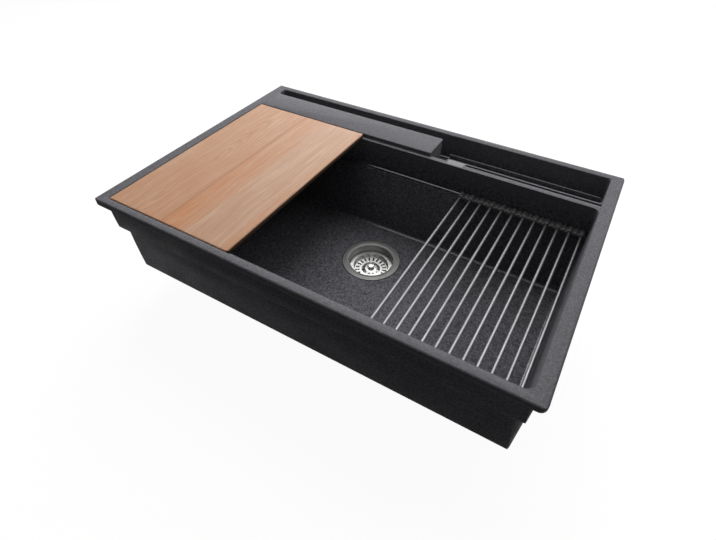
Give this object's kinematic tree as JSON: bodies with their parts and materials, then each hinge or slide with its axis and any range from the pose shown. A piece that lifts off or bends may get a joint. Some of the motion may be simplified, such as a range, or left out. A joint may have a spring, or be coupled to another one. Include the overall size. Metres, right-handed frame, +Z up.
{
  "type": "workstation kitchen sink",
  "caption": "Drop-in stone composite kitchen sink with a basin, tap deck, slot and trough, a sliding board, a roll-up rod rack and a basket strainer.",
  "frame": {"origin": "middle of the rim in plan, on the plane of the worktop that the rim's underside rests on", "axes": "+X to the right along the rim's length, +Y towards the tap deck at the back, +Z up"},
  "size_m": [0.762, 0.521, 0.2418],
  "materials": {
    "composite": "fine matt speckle",
    "stainless": "satin",
    "wood": "oiled",
    "silicone": "matt",
    "rubber": "matt",
    "fibre": "matt"
  },
  "bodies": {
    "sink": {"sink_body": "composite", "badge_plate": "stainless", "strainer_body": "stainless", "flange_seal": "rubber", "floor_gasket": "rubber", "fibre_washer": "fibre", "lock_nut": "stainless"},
    "board": {"cutting_board": "wood"},
    "basket": {"strainer_basket": "stainless", "basket_post": "stainless", "basket_stopper": "rubber"},
    "rack_a": {"rod_08": "stainless", "rod_09": "stainless", "rod_10": "stainless", "rod_11": "stainless", "rod_12": "stainless", "strip_back_a": "silicone", "strip_front_a": "silicone"},
    "rack_b": {"rod_07": "stainless", "strip_back_b": "silicone", "strip_front_b": "silicone"},
    "rack_c": {"rod_06": "stainless", "strip_back_c": "silicone", "strip_front_c": "silicone"},
    "rack_d": {"rod_03": "stainless", "rod_04": "stainless", "rod_05": "stainless", "strip_back_d": "silicone", "strip_front_d": "silicone"},
    "rack_e": {"rod_02": "stainless", "strip_back_e": "silicone", "strip_front_e": "silicone"},
    "rack_f": {"rod_01": "stainless", "strip_back_f": "silicone", "strip_front_f": "silicone"}
  },
  "joints": [
    {"name": "board_slide", "type": "slide", "parent": "sink", "child": "board", "axis": [1, 0, 0], "range_m": [0, 0.455]},
    {"name": "rack_slide", "type": "slide", "parent": "sink", "child": "rack_a", "axis": [1, 0, 0], "range_m": [-0.48, 0]},
    {"name": "rack_roll_1", "type": "hinge", "parent": "rack_a", "child": "rack_b", "pos_m": [0.26, 0, -0.0452], "axis": [0, 1, 0], "range_deg": [0, 60]},
    {"name": "rack_roll_2", "type": "hinge", "parent": "rack_b", "child": "rack_c", "pos_m": [0.24, 0, -0.0452], "axis": [0, 1, 0], "range_deg": [0, 60]},
    {"name": "rack_roll_3", "type": "hinge", "parent": "rack_c", "child": "rack_d", "pos_m": [0.22, 0, -0.0452], "axis": [0, 1, 0], "range_deg": [0, 60]},
    {"name": "rack_roll_4", "type": "hinge", "parent": "rack_d", "child": "rack_e", "pos_m": [0.16, 0, -0.0452], "axis": [0, 1, 0], "range_deg": [0, 90]},
    {"name": "rack_roll_5", "type": "hinge", "parent": "rack_e", "child": "rack_f", "pos_m": [0.14, 0, -0.0452], "axis": [0, 1, 0], "range_deg": [0, 90]},
    {"name": "basket_lift", "type": "slide", "parent": "sink", "child": "basket", "axis": [0, 0, 1], "range_m": [0, 0.06]}
  ],
  "couplings": [
    {"joint": "rack_roll_2", "follows": "rack_roll_1", "ratio": 1},
    {"joint": "rack_roll_3", "follows": "rack_roll_1", "ratio": 1},
    {"joint": "rack_roll_4", "follows": "rack_roll_1", "ratio": 1.5},
    {"joint": "rack_roll_5", "follows": "rack_roll_1", "ratio": 1.5}
  ]
}
